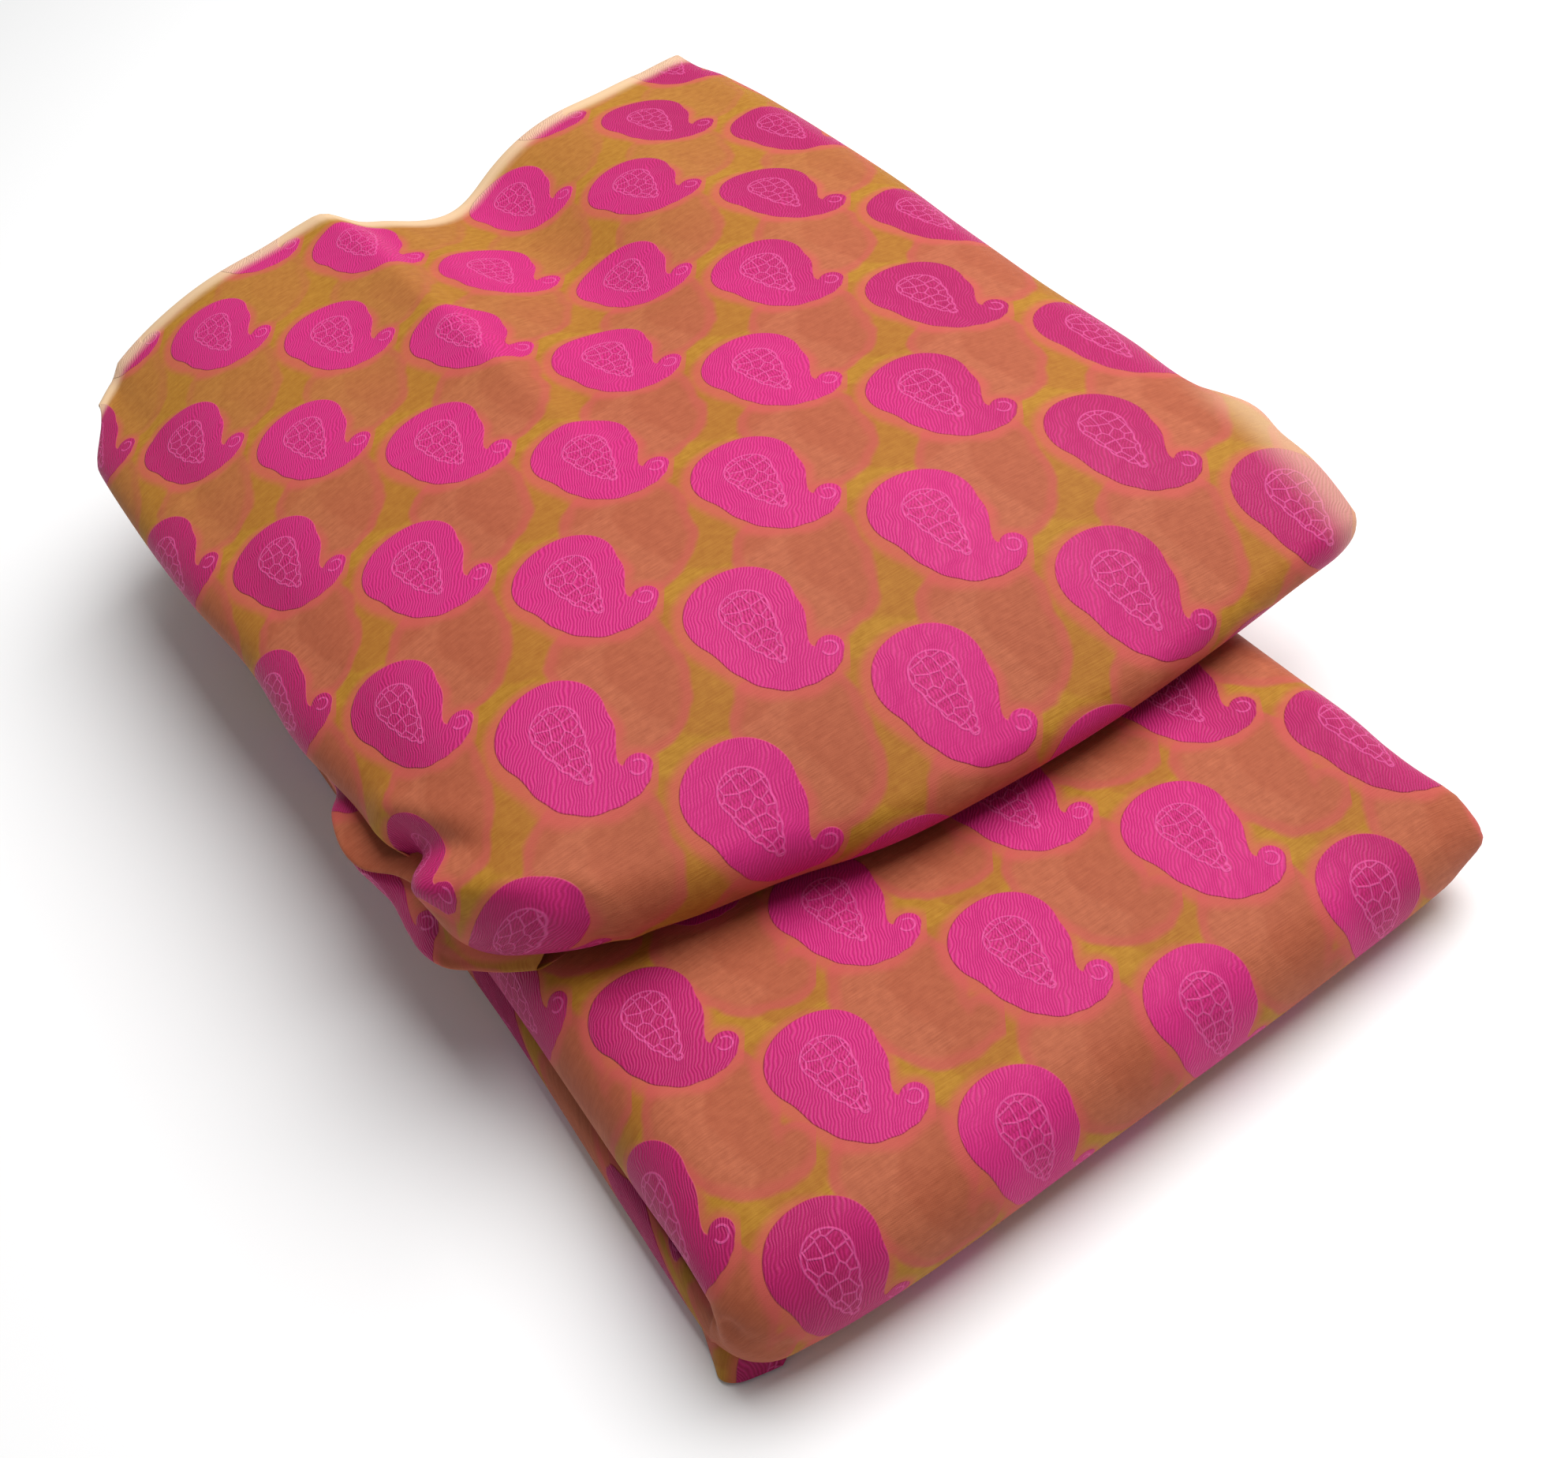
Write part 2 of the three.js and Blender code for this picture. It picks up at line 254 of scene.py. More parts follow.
def upper_top(x, y):
    """Height of the upper tier's cover."""
    crown = upper_peak(x) - BACK_SAG * eased(y, 170, 350) + crease(x, y)
    return shoulder(UPPER_PLAN, upper_peak, UPPER_POWER, crown, x, y)


def upper_base(x, y):
    """Height of the upper tier's lowest run."""
    rest = LOWER_TOP + TIER_GAP - BACK_SAG * eased(y, 300, 360)
    radius = read(UPPER_PLAN, "round", x)
    low = read(UPPER_PLAN, "tip", x) - radius
    t = np.clip((y - read(UPPER_PLAN, "nose", x) - radius) / (2 * radius), 0, 1)
    return lerp(low, rest, 1 - (1 - t) ** 2)


def lower_top(x, y):
    """Height of the lower tier's cover."""
    return shoulder(LOWER_PLAN, lower_peak, LOWER_POWER, LOWER_TOP, x, y)


def lower_base(x, y):
    """Height of the lower tier's lowest run."""
    return 0 * x + FLOOR_AIR


# roll and under_roll: radius of the left and the right margin's roll on the cover and on the
# run beneath, curl: how much further that run's margin turns, inner: x of the inner runs' sides.
UPPER = {
    "plan": UPPER_PLAN, "edges": UPPER_EDGES, "top": upper_top, "base": upper_base,
    "peak": upper_peak, "power": UPPER_POWER,
    "roll": (30, 21), "under_roll": (6, 6), "curl": 1.2, "inner": (21, 280), "runs": UPPER_RUNS,
}
LOWER = {
    "plan": LOWER_PLAN, "edges": LOWER_EDGES, "top": lower_top, "base": lower_base,
    "peak": lower_peak, "power": LOWER_POWER,
    "roll": (20, 13), "under_roll": (8.5, 8.5), "curl": 1.5, "inner": (28, 243),
    "runs": LOWER_RUNS,
}
ROLL_CLEARANCE = 7       # kept between the two margins of one tier
BACK_FADE = 28           # stretch in which the side margins end before a back fold
FRONT_FADE = 40          # stretch behind a nose in which the margins take their full roll
LEAN_FADE = 30           # stretch behind a nose in which the margins still lean with it
ROLL_REACH = 1 - math.cos(math.radians(114))


# Stations across a wrap: the left margin's roll, the flat middle, the right margin's roll

MARGIN_TURN = 108        # degrees that a margin's roll turns through
LEFT, MIDDLE, RIGHT = 14, 92, 11
LEFT_ANGLES = np.radians(np.linspace(MARGIN_TURN, 0, LEFT + 1))[:-1]
RIGHT_ANGLES = np.radians(np.linspace(0, MARGIN_TURN, RIGHT + 1))[1:]
SIDE = np.concatenate([-np.ones(LEFT), np.zeros(MIDDLE), np.ones(RIGHT)])[:, None]
ANGLE = np.concatenate([LEFT_ANGLES, np.zeros(MIDDLE), RIGHT_ANGLES])[:, None]
SHARE = np.concatenate([np.zeros(LEFT), np.linspace(0, 1, MIDDLE), np.ones(RIGHT)])[:, None]


def margin_rolls(tier, under):
    """Radius of the left and the right margin's roll, from the cover to the run beneath."""
    return [lerp(cover, beneath, under) for cover, beneath in zip(tier["roll"], tier["under_roll"])]


def across(tier, y, under):
    """x at each station. under goes from 0, the cover, to 1, the run beneath."""
    edges = tier["edges"]
    left = lerp(read(edges, "left", y, "y"), read(edges, "under_left", y, "y"), under)
    right = lerp(read(edges, "right", y, "y"), read(edges, "under_right", y, "y"), under)
    roll_left, roll_right = margin_rolls(tier, under)
    turn = 1 - np.sin(ANGLE * lerp(1, tier["curl"], under))
    middle = lerp(left + roll_left, right - roll_right, SHARE)
    return np.where(
        SIDE < 0, left + roll_left * turn, np.where(SIDE > 0, right - roll_right * turn, middle))


def rolled(tier, under, room):
    """How far each station's margin has rolled in, where the roll has so much room."""
    roll_left, roll_right = margin_rolls(tier, under)
    radius = np.where(SIDE < 0, roll_left, np.where(SIDE > 0, roll_right, 0))
    turn = 1 - np.cos(ANGLE * lerp(1, tier["curl"], under))
    return np.minimum(radius, np.clip(room, 0, None)) * turn


def nose_room(tier, x):
    """Room for a margin's roll inside a nose."""
    return (2 * read(tier["plan"], "round", x) - ROLL_CLEARANCE) / ROLL_REACH / 2


def run_room(tier, x, y, under):
    """Room for a margin's roll on the cover or on the run beneath."""
    height = tier["top"](x, y) - tier["base"](x, y)
    near = nose_room(tier, x)
    beneath = np.minimum((height - ROLL_CLEARANCE) / ROLL_REACH / 2, tier["under_roll"][0])
    full = beneath if under else (height - ROLL_CLEARANCE) / ROLL_REACH - beneath
    front = read(tier["plan"], "nose", x) + read(tier["plan"], "round", x)
    return lerp(near, full, eased(y, front, front + FRONT_FADE))


def nose_start(tier, x):
    """Angle at which the cover leaves the nose."""
    return brow(tier["plan"], tier["peak"], tier["power"], x)


def run_of_wrap(tier, under, steps):
    """The cover's run, or the one beneath, from the nose to the back fold."""
    y = np.linspace(0, 300, steps)[None, :] + 0 * ANGLE
    for _ in range(3):
        x = across(tier, y, under)
        turn = math.pi / 2 if under else nose_start(tier, x)
        front = read(tier["plan"], "nose", x) + read(tier["plan"], "round", x) * (1 - np.cos(turn))
        back = read(tier["plan"], "back", x)
        y = lerp(front, back, np.linspace(0, 1, steps)[None, :])
    weight = 1 - eased(y, back - BACK_FADE, back)
    inner = lerp(tier["inner"][0], tier["inner"][1], SHARE)
    place = lerp(lerp(inner, x, 0.5), x, weight)
    roll = weight * rolled(tier, under, run_room(tier, x, y, under))
    if under:
        return np.stack([place, y, tier["base"](x, y) + roll], -1)
    lean = np.cos(turn) * (1 - eased(y, front, front + LEAN_FADE))
    z = tier["top"](x, y) - roll * np.sqrt(1 - lean ** 2)
    return np.stack([place, y + lean * roll, z], -1)


def nose_of_wrap(tier, steps):
    """Round the nose, from the cover to the run beneath."""
    share = (np.arange(1, steps) / steps)[None, :] + 0 * ANGLE
    y = 0 * share
    for _ in range(3):
        x = across(tier, y, share)
        turn = lerp(nose_start(tier, x), -math.pi / 2, share)
        radius = read(tier["plan"], "round", x)
        y = read(tier["plan"], "nose", x) + radius * (1 - np.cos(turn))
    z = read(tier["plan"], "tip", x) + radius * np.sin(turn)
    roll = rolled(tier, share, nose_room(tier, x))
    return np.stack([x, y + np.cos(turn) * roll, z - np.sin(turn) * roll], -1)


def tuck(run, drop, length, steps):
    """A back fold and a short return run, from the last column of a run."""
    edge = run[:, -1:, :]
    turn = np.linspace(0, math.pi, steps + 1)[1:]
    fold = np.stack([0 * turn, drop / 2 * np.sin(turn), drop / 2 * (np.cos(turn) - 1)], -1)[None]
    back = np.linspace(0, 1, steps + 1)[1:]
    tail = np.stack([0 * back, -length * back, -drop + 0 * back], -1)[None]
    return np.concatenate([edge + fold, edge + tail], 1)


BACK_TUCK = {"drop": 5, "length": 30, "steps": 6}   # of the cover, at its back fold


def wrap(tier, top_steps, nose_steps, under_steps):
    """The sheet over a tier: tucked in at the back, over the top, round the nose and under."""
    top = run_of_wrap(tier, 0, top_steps)
    under = run_of_wrap(tier, 1, under_steps)
    tucked = tuck(top, **BACK_TUCK)[:, ::-1]
    return np.concatenate([tucked, top[:, ::-1], nose_of_wrap(tier, nose_steps), under], 1)


# Pleats and creases pressed into a cover: from one place to another, with their depth at
# either end, their half width there and the way they are pressed.
UPPER_PLEATS = rows(
    "start end deep wide way",
    ((4, 36, 74), (27, 8, 79), (22, 6), (8, 3.6), (0.45, 0.35, -0.82)),
    ((10, 50, 80), (26, 22, 84), (3.5, 1.5), (6, 4), (-0.3, -0.5, 0.5)),
    ((3, 18, 76), (24, -6, 80), (-3, -1), (4, 3), (0.3, 0.6, -0.7)),
    ((42, -17, 80), (46, -23, 54), (-2.2, -1), (3, 4), (0, 1, 0)),
    ((35, -16, 80), (39, -22, 58), (1.6, 1), (3, 4), (0, 1, 0)),
)
LOWER_PLEATS = rows(
    "start end deep wide way",
    ((10, -124, 26), (24, -137, 16), (5, 1), (3, 2.5), (0.5, 0.5, 0.2)),
    ((255, -115, 27), (258, -123, 20), (7, 8), (9, 8), (0.75, -0.65, 0)),
    ((92, -100, 44), (96, -138, 24), (0.6, 1.3), (5, 6), (0, 0.6, -0.8)),
    ((148, -96, 44), (156, -138, 26), (0.5, 1.4), (4, 6), (0, 0.6, -0.8)),
    ((208, -104, 43), (212, -136, 24), (0.6, 1.2), (5, 5), (0, 0.6, -0.8)),
)


def pressed(points, pleats):
    """The points with the pleats pressed in."""
    for pleat in pleats:
        start = np.array(pleat["start"], float)
        along = np.array(pleat["end"], float) - start
        share = np.clip((points - start) @ along / (along @ along), 0, 1)
        away = np.linalg.norm(points - start - share[..., None] * along, axis=-1)
        depth = lerp(*pleat["deep"], share) * np.exp(-((away / lerp(*pleat["wide"], share)) ** 2))
        points = points + depth[..., None] * np.array(pleat["way"])
    return points


def smooth_line(places, count):
    """A smooth line of count points through a few places, evenly between them."""
    places = np.asarray(places, float)
    at = np.linspace(0, len(places) - 1, count)
    k = np.minimum(at.astype(int), len(places) - 2)
    t = (at - k)[:, None]
    before = places[np.maximum(k - 1, 0)]
    after = places[np.minimum(k + 2, len(places) - 1)]
    start, end = places[k], places[k + 1]
    return 0.5 * (
        2 * start + (end - before) * t
        + (2 * before - 5 * start + 4 * end - after) * t ** 2
        + (3 * start - before - 3 * end + after) * t ** 3
    )


def hand_shaped(lines, stations, columns):
    """A smooth sheet through a few lines of places, with so many stations on each line."""
    drawn = np.array([smooth_line(line, stations) for line in lines])
    return np.stack([smooth_line(drawn[:, i], columns) for i in range(stations)])


# The ply that shows along the upper tier's left side, with the loop it throws at the front.
# Each row is a section of it at one y: its lip, the hollow under the lip, its belly and foot.
UPPER_SIDE = rows(
    "y lip_x lip_z hollow_x hollow_z belly_x belly_z foot_x foot_z",
    (150, 15, 62, 15, 58, 14, 54, 15, 49),
    (110, 4, 62, 4, 58, 3, 54, 5, 49),
    (86, 2, 64, 3, 60, 2, 55, 4, 49),
    (75, -4, 65, 0, 61, -3, 56, 1, 50),
    (62, -7, 63, 0, 60, -6, 56, -1, 49),
    (52, -5, 61, 2, 59, -4, 56, -2, 49),
    (44, 2, 60, 5, 58, 0, 54, -2, 48),
    (34, 6, 60, 6, 57, 0, 52, -3, 46),
    (24, 7, 60, 5, 55, 0, 51, -3, 46),
    (14, 9, 60, 6, 55, 2, 50, 0, 46.6),
    (7, 14, 58, 11, 54, 8, 50.5, 6, 46.8),
    (0, 21, 57, 18, 53, 15, 50, 13, 46.8),
    (-6, 29, 56, 26, 53, 23, 50, 21, 46.8),
)


def side_section(row):
    """One section of the side ply, from its hidden upper end to its hidden foot."""
    y = row["y"]
    return [
        (row["lip_x"] + 22, y, row["lip_z"] + 3), (row["lip_x"] + 9, y, row["lip_z"] + 2),
        (row["lip_x"], y, row["lip_z"]), (row["hollow_x"], y, row["hollow_z"]),
        (row["belly_x"], y, row["belly_z"]), (row["foot_x"], y, row["foot_z"]),
        (row["foot_x"] + 12, y, row["foot_z"] - 1),
    ]


# The flap of the lower ply that shows under the front left corner: each row is one upright
# of it, from its top, behind the cover's edge, over its belly to its hem on the surface.
CORNER_FLAP = rows(
    "top belly hem",
    ((14, -84, 18), (8, -86, 11), (9, -88, 1.2)),
    ((13, -98, 18), (7, -101, 11), (6, -103, 1.2)),
    ((13, -108, 18), (6, -111, 10), (3, -115, 1.2)),
    ((14, -114, 16), (6, -117, 9), (2, -120, 1.2)),
    ((17, -118, 13), (9, -121, 7), (5, -123.5, 1.2)),
    ((22, -121, 9), (15, -123.5, 5), (11, -125.5, 1.2)),
    ((28, -123, 5), (21, -125.5, 3), (17, -127, 1.2)),
)


# The folds of the runs inside each tier, from the top down, and how far each one stops
# short of the cover.
UPPER_FOLDS = rows(
    "end short",
    ("back", 8), ("nose", 30), ("back", 12), ("nose", 24), ("back", 7), ("nose", 34), ("back", 15),
)
LOWER_FOLDS = rows(
    "end short",
    ("back", 14), ("nose", 13), ("back", 9), ("nose", 16), ("back", 2),
)
RUN_MARGIN = 2.0         # between an inner run and the cover
RUN_BULGE = 2.2          # how far an inner fold stands out
FOLD_STEPS = 8           # along an inner fold


def fold_place(tier, row, x):
    """y of an inner fold at each x."""
    if row["end"] == "back":
        return read(tier["plan"], "back", x) - row["short"]
    return read(tier["plan"], "nose", x) + read(tier["plan"], "round", x) + row["short"]


def inner_level(tier, x, y, share):
    """The places between the run beneath, share 0, and the cover, share 1."""
    z = lerp(tier["base"](x, y) + RUN_MARGIN, tier["top"](x, y) - RUN_MARGIN, share)
    return np.stack([x + 0 * y, y, z], -1)


def inner_runs(tier, folds, columns, steps):
    """The runs inside a tier, back and forth from under the cover down."""
    x = np.linspace(*tier["inner"], columns)[:, None]
    gap = 1 / (tier["runs"] - 1)
    turn = np.linspace(0, math.pi, FOLD_STEPS)[None, 1:-1]
    parts = []
    for k, (start, end) in enumerate(zip(folds[:-1], folds[1:]), 1):
        last = fold_place(tier, end, x)
        y = lerp(fold_place(tier, start, x), last, np.linspace(0, 1, steps)[None])
        parts.append(inner_level(tier, x, y, 1 - k * gap))
        if k < len(folds) - 1:
            bulge = RUN_BULGE * np.sin(turn) * (1 if end["end"] == "back" else -1)
            parts.append(inner_level(tier, x, last + bulge, 1 - gap * (k + (1 - np.cos(turn)) / 2)))
    return np.concatenate(parts, 1)


def lengths(points, axis):
    """Distance along the sheet from its first row or column."""
    step = np.linalg.norm(np.diff(points, axis=axis), axis=-1)
    start = np.zeros_like(np.take(step, [0], axis))
    return np.concatenate([start, np.cumsum(step, axis=axis)], axis)


def sheet_piece(name, points, chart, thickness, values):
    """A thin sheet: a flat grid whose vertices are folded to the given places. values are
    what its shader reads at each of them."""
    stations, columns = points.shape[:2]
    mesh = bpy.data.meshes.new(name)
    sheet = bmesh.new()
    bmesh.ops.create_grid(sheet, x_segments=stations - 1, y_segments=columns - 1, size=1)
    flat = np.array([v.co[:] for v in sheet.verts])
    i = np.rint((flat[:, 0] + 1) / 2 * (stations - 1)).astype(int)
    j = np.rint((flat[:, 1] + 1) / 2 * (columns - 1)).astype(int)
    sheet.to_mesh(mesh)
    sheet.free()
    placed = (points[i, j] - np.array([*CLOTH_MIDDLE, 0])) * MM
    mesh.vertices.foreach_set("co", placed.ravel())
    corner = np.empty(len(mesh.loops), int)
    mesh.loops.foreach_get("vertex_index", corner)
    layer = mesh.uv_layers.new(name="sheet")
    layer.data.foreach_set("uv", (chart[i, j][corner] * MM).ravel())
    for words, value in values.items():
        attribute = mesh.attributes.new(words, "FLOAT", "POINT")
        attribute.data.foreach_set("value", value[i, j].ravel())
    mesh.polygons.foreach_set("use_smooth", np.ones(len(mesh.polygons), bool))
    mesh.update()
    piece = bpy.data.objects.new(name, mesh)
    bpy.context.scene.collection.objects.link(piece)
    thick = piece.modifiers.new("thickness", "SOLIDIFY")
    thick.thickness = thickness * MM
    thick.offset = 0
    return piece


UPPER_SKEW = 0.03        # how far the repeat's rows run off square on the upper tier
SKEW_MIDDLE = 110        # x where they run true
# Where the cloth has slipped in its folds: by u, v at x, y, fading over wide and long.
CHART_SLIPS = rows(
    "x y u v wide long",
    (8, -8, 10, 2, 34, 22),
)


def slipped(points, chart):
    """The chart where the cloth has slipped sideways in its folds."""
    for row in CHART_SLIPS:
        away = ((points[:, :, 0] - row["x"]) / row["wide"]) ** 2
        away = away + ((points[:, :, 1] - row["y"]) / row["long"]) ** 2
        chart = chart + np.exp(-away)[..., None] * np.array([row["u"], row["v"]])
    return chart + UPPER_SKEW * (points[:, :, :1] - SKEW_MIDDLE) * np.array([0, 1])


def chart_of(points, first, last, origin):
    """Where each point lies on the flat cloth, in mm: u across, v towards the back. The row
    of the sheet at origin's y, between the given columns, is v = 0."""
    u = lengths(points, 0)
    flat = np.flatnonzero(SIDE[:, 0] == 0)
    left, right = flat[0], flat[-1]
    u[:left] += points[left, :, 0] - u[left]
    u[right + 1:] += points[right, :, 0] - u[right]
    u[left:right + 1] = points[left:right + 1, :, 0]
    walked = lengths(points, 1)
    zero = [np.interp(-origin[1], -line[first:last, 1], at[first:last])
            for line, at in zip(points, walked)]
    v = np.array(zero)[:, None] - walked
    return np.stack([u - origin[0], v], -1)


# Shader tools

def put(tree, kind, *values, **settings):
    """A node with its inputs in order: a socket is linked, a number or colour is set."""
    node = tree.nodes.new("ShaderNode" + kind)
    for name, value in settings.items():
        setattr(node, name, value)
    for socket, value in zip(node.inputs, values):
        if isinstance(value, bpy.types.NodeSocket):
            tree.links.new(value, socket)
        elif value is not None:
            socket.default_value = value
    return node


def calc(tree, operation, *values):
    """The result of one sum on numbers."""
    return put(tree, "Math", *values, operation=operation).outputs[0]


def band(tree, value, low, high):
    """0 where value is at low and 1 where it is at high, softly between. low may be larger."""
    if low < high:
        node = put(tree, "MapRange", value, low, high, 0.0, 1.0, interpolation_type="SMOOTHSTEP")
    else:
        node = put(tree, "MapRange", value, high, low, 1.0, 0.0, interpolation_type="SMOOTHSTEP")
    return node.outputs[0]


def blend(tree, share, under, over):
    """A mix of two colours. Each is a socket or a colour."""
    node = tree.nodes.new("ShaderNodeMix")
    node.data_type = "RGBA"
    for socket, value in zip((node.inputs[0], node.inputs[6], node.inputs[7]), (share, under, over)):
        if isinstance(value, bpy.types.NodeSocket):
            tree.links.new(value, socket)
        else:
            socket.default_value = value
    return node.outputs[2]


def colour(code):
    """A linear colour from its usual hexadecimal code."""
    parts = [int(code[i:i + 2], 16) / 255 for i in (1, 3, 5)]
    return (*[c / 12.92 if c <= 0.04045 else ((c + 0.055) / 1.055) ** 2.4 for c in parts], 1)


def new_group(name, inputs, outputs):
    """An empty shader group. inputs and outputs are name: (kind, value) pairs."""
    tree = bpy.data.node_groups.new(name, "ShaderNodeTree")
    for words, (kind, value) in inputs.items():
        socket = tree.interface.new_socket(words, in_out="INPUT", socket_type="NodeSocket" + kind)
        if value is not None:
            socket.default_value = value
    for words, kind in outputs.items():
        tree.interface.new_socket(words, in_out="OUTPUT", socket_type="NodeSocket" + kind)
    return tree, tree.nodes.new("NodeGroupInput").outputs, tree.nodes.new("NodeGroupOutput").inputs


PITCH_ACROSS = 65.0      # of the repeat, in mm
PITCH_ALONG = 49.0       # between rows, each row a half drop from the last

# Discs that make the paisley and, inside it, its bunch of fruit: x, y, radius in mm
PAISLEY = (
    (-1.8, 8.0, 15.4), (1.2, 8.2, 15.2), (0.0, 1.0, 15.2), (-1.2, -5.0, 13.2),
    (-1.2, -11.0, 10.9), (0.6, -16.0, 8.8), (4.6, -19.6, 6.4), (8.6, -21.4, 4.6),
    (11.8, -21.0, 3.6), (13.4, -18.4, 4.1),
)
WOVEN = 1.5              # how softly the discs of a paisley run together
BLURRED = 3.0            # the same, seen through a ply
HALO_SHIFT = (1.1, 0.7, 0)
CURL_EYE = (13.2, -18.5, 0)
CURL_RADIUS = 2.3
CURL_OPENING = (13.0, -18.2)   # the curl is open above and to the left of this
FRUIT = ((0.6, 7.2, 7.4), (0.3, 1.5, 6.4), (0.0, -4.5, 4.9), (0.0, -9.5, 3.0), (0.2, -13.5, 1.2))


def union(tree, place, discs, softness):
    """Signed distance to a soft union of discs."""
    total = None
    for x, y, radius in discs:
        reach = put(tree, "VectorMath", place, (x, y, 0), operation="DISTANCE").outputs["Value"]
        edge = calc(tree, "SUBTRACT", reach, radius)
        total = edge if total is None else calc(tree, "SMOOTH_MIN", total, edge, softness)
    return total


def make_repeat():
    """The half-drop repeat: each place on the cloth, measured from its own paisley."""
    tree, given, result = new_group(
        "half_drop_repeat",
        {"Chart": ("Vector", None), "Shift": ("Vector", None), "Flip": ("Float", 1.0)},
        {"Place": "Vector"},
    )
    moved = put(tree, "VectorMath", given["Chart"], given["Shift"], operation="SUBTRACT")
    flat = put(tree, "SeparateXYZ", moved.outputs[0])
    half = PITCH_ACROSS / 2
    x_one = calc(tree, "WRAP", flat.outputs[0], half, -half)
    y_one = calc(tree, "WRAP", flat.outputs[1], PITCH_ALONG, -PITCH_ALONG)
    x_two = calc(tree, "WRAP", calc(tree, "SUBTRACT", flat.outputs[0], half), half, -half)
    dropped = calc(tree, "SUBTRACT", flat.outputs[1], PITCH_ALONG)
    y_two = calc(tree, "WRAP", dropped, PITCH_ALONG, -PITCH_ALONG)
    reach = calc(
        tree, "ADD",
        calc(tree, "DIVIDE", calc(tree, "ABSOLUTE", x_one), half),
        calc(tree, "DIVIDE", calc(tree, "ABSOLUTE", y_one), PITCH_ALONG),
    )
    other = calc(tree, "GREATER_THAN", reach, 1.0)
    first = put(tree, "CombineXYZ", x_one, y_one)
    second = put(tree, "CombineXYZ", x_two, y_two)
    chosen = tree.nodes.new("ShaderNodeMix")
    chosen.data_type = "VECTOR"
    tree.links.new(other, chosen.inputs[0])
    tree.links.new(first.outputs[0], chosen.inputs[4])
    tree.links.new(second.outputs[0], chosen.inputs[5])
    flip = put(tree, "CombineXYZ", given["Flip"], 1.0, 1.0)
    turned = put(tree, "VectorMath", chosen.outputs[1], flip.outputs[0], operation="MULTIPLY")
    tree.links.new(turned.outputs[0], result["Place"])
    return tree


def make_paisley():
    """The paisley: its signed distance, its halo of cut threads and the curl of its tail."""
    tree, given, result = new_group(
        "paisley", {"Place": ("Vector", None), "Softness": ("Float", WOVEN)},
        {"Distance": "Float", "Halo": "Float", "Curl": "Float"},
    )
    tree.links.new(union(tree, given["Place"], PAISLEY, given["Softness"]), result["Distance"])
    threads = put(tree, "VectorMath", given["Place"], HALO_SHIFT, operation="ADD").outputs[0]
    around = union(tree, threads, PAISLEY[::2] + PAISLEY[-1:], 4.0)
    tree.links.new(around, result["Halo"])
    curl = put(tree, "VectorMath", given["Place"], CURL_EYE, operation="DISTANCE")
    ring = calc(tree, "ABSOLUTE", calc(tree, "SUBTRACT", curl.outputs["Value"], CURL_RADIUS))
    flat = put(tree, "SeparateXYZ", given["Place"])
    opening = calc(
        tree, "MULTIPLY", calc(tree, "LESS_THAN", flat.outputs[0], CURL_OPENING[0]),
        calc(tree, "GREATER_THAN", flat.outputs[1], CURL_OPENING[1]))
    line = calc(tree, "MULTIPLY", band(tree, ring, 0.5, 0.2), calc(tree, "SUBTRACT", 1.0, opening))
    tree.links.new(line, result["Curl"])
    return tree


VEIN_ACROSS = 1.15       # mm from vein to vein
VEIN_ALONG = 2.9         # mm from dash to dash of a vein


def make_fruit():
    """The bunch of fruit in each paisley: thin outlines, and veins inside them."""
    tree, given, result = new_group(
        "fruit", {"Place": ("Vector", None), "Cell": ("Float", 3.7)},
        {"Lines": "Float", "Veins": "Float"},
    )
    edge = union(tree, given["Place"], FRUIT, 1.5)
    inside = band(tree, edge, 0.2, -0.2)
    size = calc(tree, "DIVIDE", 1.0, given["Cell"])
    squeezed = put(tree, "VectorMath", given["Place"], (1.0, 0.82, 1.0), operation="MULTIPLY")
    cells = tree.nodes.new("ShaderNodeTexVoronoi")
    cells.voronoi_dimensions = "2D"
    cells.feature = "DISTANCE_TO_EDGE"
    cells.inputs["Randomness"].default_value = 0.55
    tree.links.new(squeezed.outputs[0], cells.inputs["Vector"])
    tree.links.new(size, cells.inputs["Scale"])
    web = band(tree, cells.outputs["Distance"], 0.1, 0.03)
    rim = band(tree, calc(tree, "ABSOLUTE", edge), 0.5, 0.1)
    lines = calc(tree, "MAXIMUM", calc(tree, "MULTIPLY", web, inside), rim)
    tree.links.new(lines, result["Lines"])
    flat = put(tree, "SeparateXYZ", given["Place"])
    vein = calc(
        tree, "SINE", calc(tree, "MULTIPLY", flat.outputs[0], 2 * math.pi / VEIN_ACROSS))
    dash = calc(tree, "SINE", calc(tree, "MULTIPLY", flat.outputs[1], 2 * math.pi / VEIN_ALONG))
    veins = calc(tree, "MULTIPLY", band(tree, vein, -0.2, 0.6), band(tree, dash, -0.6, 0.2))
    tree.links.new(calc(tree, "MULTIPLY", veins, inside), result["Veins"])
    return tree


RIB_SLOPE = (0.84, 0.54)   # the ribs rise across the cloth and fall along it
RIB_WANDER = 5.0         # mm by which they stray
SLUB_STRETCH = (0.12, 2.2, 1.0)


def noise(tree, place, scale, detail):
    """Soft noise from 0 to 1 over the flat cloth, where one unit is a millimetre."""
    node = put(tree, "TexNoise", place, noise_dimensions="2D")
    node.inputs["Scale"].default_value = scale
    node.inputs["Detail"].default_value = detail
    return node.outputs[0]


